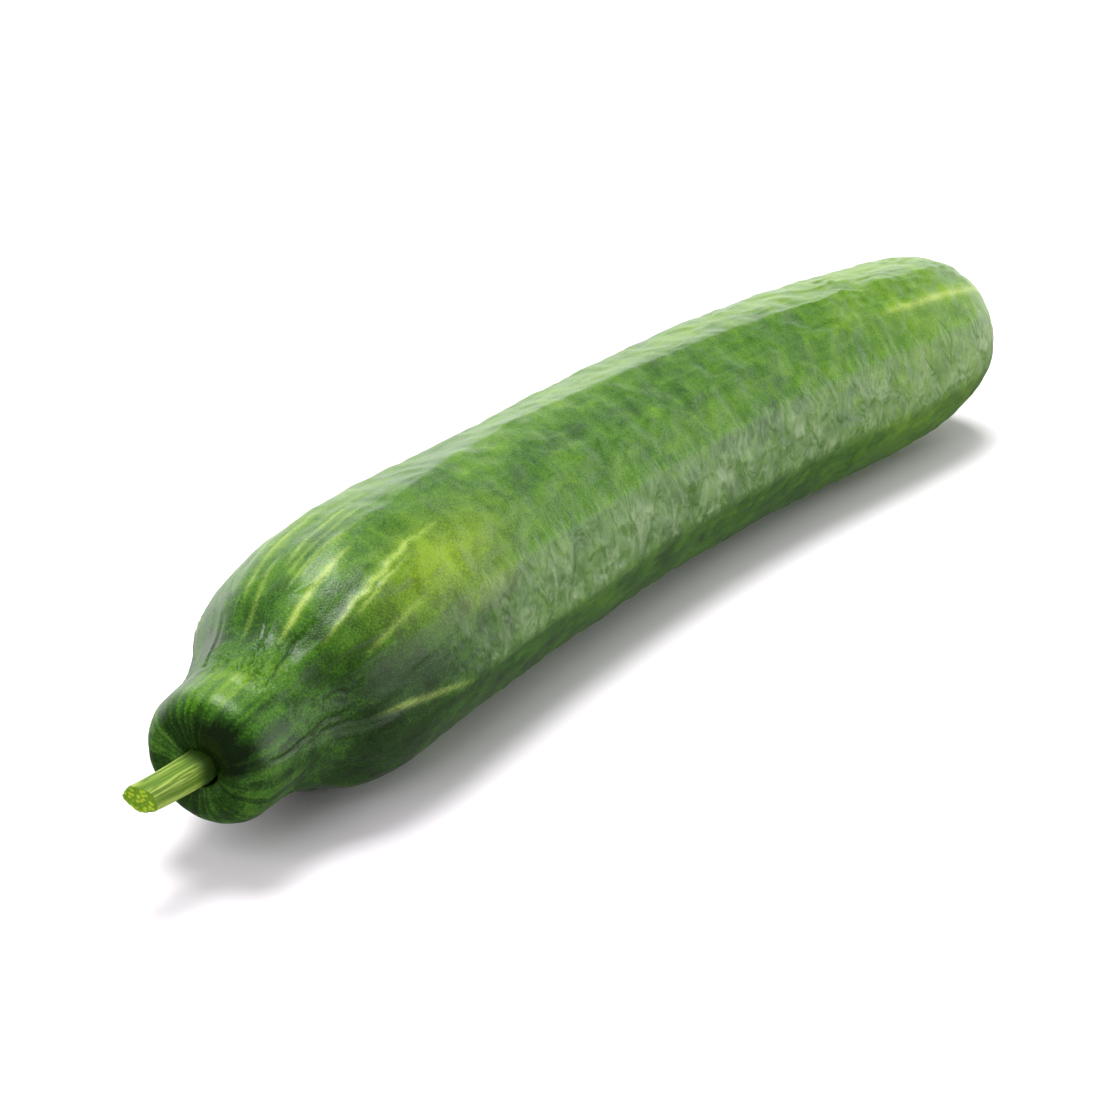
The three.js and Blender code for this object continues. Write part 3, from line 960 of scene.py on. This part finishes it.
def stalk_material():
    """Ribbed pale green stalk with fibres, painted highlights on its ribs, painted shade at its base, and a
    cut face of small cells.
    """
    g = Graph("cucumber_stalk")
    coords = g.tree.nodes.new("ShaderNodeTexCoord").outputs["Object"]
    length = g.attribute("along")
    cut = g.attribute("cut")
    fibres = g.noise(g.stretched(coords, FIBRE_STRETCH), FIBRE_SCALE, 4, 0.6)
    # Painted highlights along the stalk's ribs
    pale = g.math("MULTIPLY", g.attribute("rib"), g.window(fibres, 0.35, 0.65))
    colour = g.mix(pale, STALK_GREEN, STALK_HIGHLIGHT)
    colour = g.mix(g.window(fibres, 0.52, 0.4, 0.0, 0.7), colour, STALK_DARK)
    # Painted shade at the stalk's base, where it enters the fruit
    colour = g.mix(g.window(length, 0.56, 0.36), colour, STALK_BASE_SHADE)
    cells = g.cells(coords, CELL_SCALE)
    flesh = g.mix(g.window(cells, 0.25, 0.65), CUT_PALE, CUT_GREEN)
    rim = g.window(g.attribute("inner"), 0.86, 0.98)
    flesh = g.mix(g.math("MULTIPLY", rim, 0.6), flesh, STALK_GREEN)
    colour = g.mix(cut, colour, flesh)
    g.feed(g.shader.inputs["Base Color"], colour)
    g.feed(g.shader.inputs["Roughness"], g.window(fibres, 0.3, 0.7, 0.38, 0.55))
    g.shader.inputs["IOR"].default_value = 1.4
    g.shader.inputs["Subsurface Weight"].default_value = 0.2
    g.shader.inputs["Subsurface Radius"].default_value = (0.5, 1, 0.2)
    g.shader.inputs["Subsurface Scale"].default_value = LIGHT_DEPTH * MM
    height = g.mix(cut, fibres, cells)
    g.feed(g.shader.inputs["Normal"], g.bump(height, 0.5, FIBRE_HEIGHT * MM))
    return g.material


# Camera: where the photograph was taken from, in degrees and in millimetres from the neck's end
CAMERA_DROP = 24
CAMERA_HEADING = 55.1
CAMERA_RIGHT = 65.7
CAMERA_BACK = 349.3
CAMERA_HEIGHT = 219.6
LENS = 70.7
SENSOR = 36

# Floor, linear colour and half its width in metres
FLOOR_WHITE = (0.93, 0.89, 0.93, 1)
FLOOR_HALF = 6.0

# White wall: the way to its middle and where its light fades at its sides, its top and its foot, its light
# and the light opposite it, then the shares of that light above it and, as the skin mirrors it, below it
WALL_MIDDLE = (0.5, 0.87, 0)
WALL_SIDES = (-0.5, 0.25)
WALL_TOP = (0.36, 0.52)
WALL_FOOT = (-0.42, -0.06)
WALL_LIGHT = 1.95
OPPOSITE_LIGHT = 0.1
CEILING_SHARE = 0.18
BELOW_SHARE = 0.08


def seen_from_camera(right, away, up):
    """A direction given to the camera's right, away from it and up, in the frame's own axes."""
    turn = math.radians(CAMERA_HEADING)
    x = right * math.cos(turn) + away * math.sin(turn)
    y = -right * math.sin(turn) + away * math.cos(turn)
    return Vector((x, y, up))


def add_camera(shift):
    """The camera of the photograph."""
    data = bpy.data.cameras.new("photo_camera")
    data.lens = LENS
    data.sensor_width = SENSOR
    data.clip_start = 0.01
    data.clip_end = 50
    camera = bpy.data.objects.new("photo_camera", data)
    place = seen_from_camera(CAMERA_RIGHT, -CAMERA_BACK, CAMERA_HEIGHT) + Vector(shift)
    camera.location = place * MM
    camera.rotation_euler = Euler((math.radians(90 - CAMERA_DROP), 0, -math.radians(CAMERA_HEADING)))
    bpy.context.collection.objects.link(camera)
    bpy.context.scene.camera = camera


def add_floor():
    """A dull white floor that lights the skin but isn't mirrored in it."""
    mesh = bpy.data.meshes.new("studio_floor")
    corners = [(x * FLOOR_HALF, y * FLOOR_HALF, 0) for x, y in ((-1, -1), (1, -1), (1, 1), (-1, 1))]
    mesh.from_pydata(corners, [], [(0, 1, 2, 3)])
    floor = bpy.data.objects.new("studio_floor", mesh)
    bpy.context.collection.objects.link(floor)
    g = Graph("studio_white")
    g.shader.inputs["Base Color"].default_value = FLOOR_WHITE
    g.shader.inputs["Roughness"].default_value = 1
    g.shader.inputs["Specular IOR Level"].default_value = 0
    mesh.materials.append(g.material)
    floor.visible_glossy = False


def add_softbox(name, direction, distance, size, power, reflected=True):
    """A square area light that faces the middle of the frame, from a direction given to the camera's
    right, away from it and up. Its distance and size are in metres and its power is in watts."""
    data = bpy.data.lights.new(name, "AREA")
    data.shape = "SQUARE"
    data.size = size
    data.energy = power
    light = bpy.data.objects.new(name, data)
    towards = seen_from_camera(*direction).normalized()
    light.location = towards * distance
    light.rotation_euler = towards.to_track_quat("Z", "Y").to_euler()
    light.visible_camera = False
    light.visible_glossy = reflected
    bpy.context.collection.objects.link(light)


def range_node(tree, value, low, high, to_low, to_high):
    """A smooth step from to_low to to_high as the value goes from low to high."""
    node = tree.nodes.new("ShaderNodeMapRange")
    node.interpolation_type = "SMOOTHSTEP"
    tree.links.new(value, node.inputs[0])
    for socket, number in zip(list(node.inputs)[1:5], (low, high, to_low, to_high)):
        socket.default_value = number
    return node.outputs[0]


def add_room():
    """A white wall behind and to the sides, dimmer above and below, and a dark room in front."""
    world = bpy.data.worlds.new("studio_room")
    world.use_nodes = True
    tree = world.node_tree
    tree.nodes.clear()
    coords = tree.nodes.new("ShaderNodeTexCoord").outputs["Generated"]
    split = tree.nodes.new("ShaderNodeSeparateXYZ")
    tree.links.new(coords, split.inputs[0])
    facing = tree.nodes.new("ShaderNodeVectorMath")
    facing.operation = "DOT_PRODUCT"
    tree.links.new(coords, facing.inputs[0])
    facing.inputs[1].default_value = seen_from_camera(*WALL_MIDDLE)
    light = range_node(tree, facing.outputs["Value"], *WALL_SIDES, OPPOSITE_LIGHT, WALL_LIGHT)
    ceiling = range_node(tree, split.outputs["Z"], *WALL_TOP, 1.0, CEILING_SHARE)
    below = range_node(tree, split.outputs["Z"], *WALL_FOOT, BELOW_SHARE, 1.0)
    for share in (ceiling, below):
        product = tree.nodes.new("ShaderNodeMath")
        product.operation = "MULTIPLY"
        tree.links.new(light, product.inputs[0])
        tree.links.new(share, product.inputs[1])
        light = product.outputs[0]
    background = tree.nodes.new("ShaderNodeBackground")
    output = tree.nodes.new("ShaderNodeOutputWorld")
    tree.links.new(light, background.inputs["Strength"])
    tree.links.new(background.outputs[0], output.inputs["Surface"])
    background.inputs["Color"].default_value = (1, 1, 1, 1)
    bpy.context.scene.world = world


fruit, shift = make_fruit()
fruit.data.materials.append(skin_material())
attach(fruit, "root")
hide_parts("fruit")

stem = make_stem(shift)
stem.data.materials.append(stalk_material())
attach(stem, "root")
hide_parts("stem")

add_camera(shift)
add_floor()
add_room()
add_softbox("top_softbox", direction=(-0.05, 0.19, 0.98), distance=4.0, size=1.7, power=145)
add_softbox(
    "front_softbox", direction=(-0.37, -0.64, 0.67), distance=4.0, size=3.2, power=110, reflected=False,
)
bpy.context.scene.view_settings.view_transform = "Standard"
